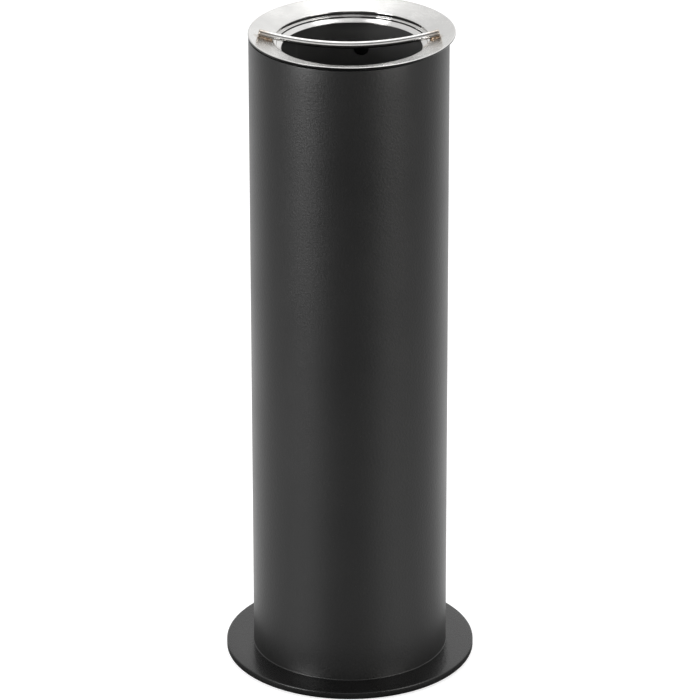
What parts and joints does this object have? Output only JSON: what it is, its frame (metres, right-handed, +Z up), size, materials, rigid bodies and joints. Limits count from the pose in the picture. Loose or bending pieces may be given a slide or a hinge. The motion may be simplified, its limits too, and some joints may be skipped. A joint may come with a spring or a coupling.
{
  "type": "umbrella stand",
  "caption": "Tall round umbrella stand: black steel tube on a round base plate, with a loose stainless funnel ring, a bar across its opening and a removable liner.",
  "frame": {"origin": "centre of the footprint, on the floor the stand rests on", "axes": "+Z up along the tube; the bar across the opening lies along X; +Y is the back"},
  "size_m": [0.2116, 0.2116, 0.5652],
  "materials": {
    "black_powder_coat": "fine satin powder coat",
    "stainless_ring": "satin stainless cone with faint turning marks, polished throat",
    "polished_bar": "polished stainless steel",
    "zinc_steel": "bright zinc plate",
    "black_plastic": "fine moulded texture",
    "rubber_pad": "matte"
  },
  "bodies": {
    "stand": {"foot_pad_1": "rubber_pad", "foot_pad_2": "rubber_pad", "foot_pad_3": "rubber_pad", "foot_pad_4": "rubber_pad", "base_plate": "black_powder_coat", "base_screw_1": "zinc_steel", "base_screw_2": "zinc_steel", "base_screw_3": "zinc_steel", "base_screw_4": "zinc_steel", "floor_pan": "black_powder_coat", "weld_nut_1": "zinc_steel", "weld_nut_2": "zinc_steel", "weld_nut_3": "zinc_steel", "weld_nut_4": "zinc_steel", "tube_shell": "black_powder_coat"},
    "ring": {"funnel_ring": "stainless_ring", "bar": "polished_bar"},
    "liner": {"liner": "black_plastic"}
  },
  "joints": [
    {"name": "ring_lift", "type": "slide", "parent": "stand", "child": "ring", "axis": [0, 0, 1], "range_m": [0, 0.64]},
    {"name": "liner_lift", "type": "slide", "parent": "stand", "child": "liner", "axis": [0, 0, 1], "range_m": [0, 0.576]}
  ],
  "couplings": [
    {"joint": "liner_lift", "follows": "ring_lift", "ratio": 0.9}
  ]
}
